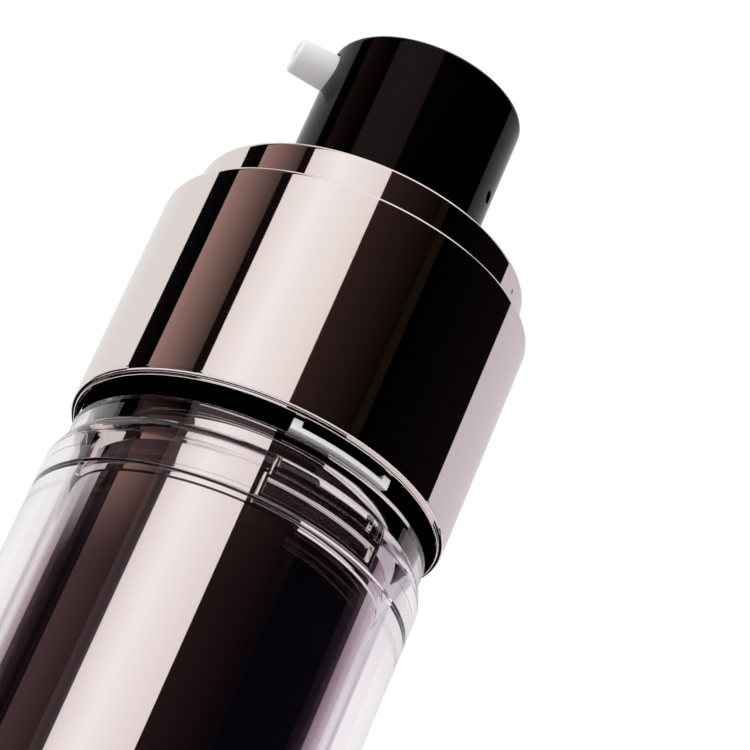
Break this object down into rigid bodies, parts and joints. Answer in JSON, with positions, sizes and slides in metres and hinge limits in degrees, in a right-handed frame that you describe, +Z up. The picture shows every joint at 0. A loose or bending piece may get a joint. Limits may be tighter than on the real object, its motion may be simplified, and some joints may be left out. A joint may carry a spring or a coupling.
{
  "type": "airless lotion pump bottle",
  "caption": "Airless lotion bottle with a thick clear shell, a lift-out metallised refill, a mirror collar with a stepped ring, and a black push button with a white side spout.",
  "frame": {"origin": "centre of the foot, on the surface that the bottle stands on", "axes": "+Z up along the bottle's axis, -X out of the spout"},
  "size_m": [0.038, 0.038, 0.1546],
  "materials": {
    "clear_acrylic": "thick clear acrylic, polished",
    "metallised_plastic": "vacuum-metallised, mirror bright, faintly rose",
    "mirror_gunmetal": "polished and tinted to a faintly rose mirror",
    "gloss_black": "piano black",
    "black_plastic": "satin black",
    "white_plastic": "fine satin white",
    "natural_plastic": "milky natural polyethylene",
    "soft_gasket": "soft elastomer",
    "spring_steel": "bright stainless"
  },
  "bodies": {
    "shell": {"outer_shell": "clear_acrylic"},
    "refill": {"inner_bottle": "metallised_plastic", "bottle_base_cap": "white_plastic", "neck_gasket": "soft_gasket", "pump_housing": "natural_plastic", "ball_retainer": "natural_plastic", "stem_retainer": "white_plastic", "closure": "white_plastic", "collar_sleeve": "black_plastic", "outer_collar": "mirror_gunmetal", "cap_ring": "mirror_gunmetal", "pump_spring": "spring_steel"},
    "follower": {"follower_piston": "natural_plastic"},
    "inlet_valve": {"inlet_ball": "spring_steel"},
    "plunger": {"stem": "white_plastic", "pump_piston": "natural_plastic"},
    "outlet_valve": {"outlet_ball": "spring_steel"},
    "head": {"actuator_shell": "gloss_black", "actuator_core": "white_plastic", "nozzle": "white_plastic"}
  },
  "joints": [
    {"name": "refill_lift", "type": "slide", "parent": "shell", "child": "refill", "axis": [0, 0, 1], "range_m": [0, 0.105]},
    {"name": "follower_rise", "type": "slide", "parent": "refill", "child": "follower", "axis": [0, 0, 1], "range_m": [0, 0.0875]},
    {"name": "inlet_valve_lift", "type": "slide", "parent": "refill", "child": "inlet_valve", "axis": [0, 0, 1], "range_m": [0, 0.0007]},
    {"name": "pump_press", "type": "slide", "parent": "refill", "child": "plunger", "axis": [0, 0, -1], "range_m": [0, 0.005], "stiffness_N_per_m": 1000, "springref_m": -0.006, "deforming": ["pump_spring"]},
    {"name": "outlet_valve_lift", "type": "slide", "parent": "plunger", "child": "outlet_valve", "axis": [0, 0, 1], "range_m": [0, 0.0006]},
    {"name": "head_turn", "type": "hinge", "parent": "plunger", "child": "head", "pos_m": [0, 0, 0.1429], "axis": [0, 0, 1], "range_deg": [0, 90]}
  ]
}
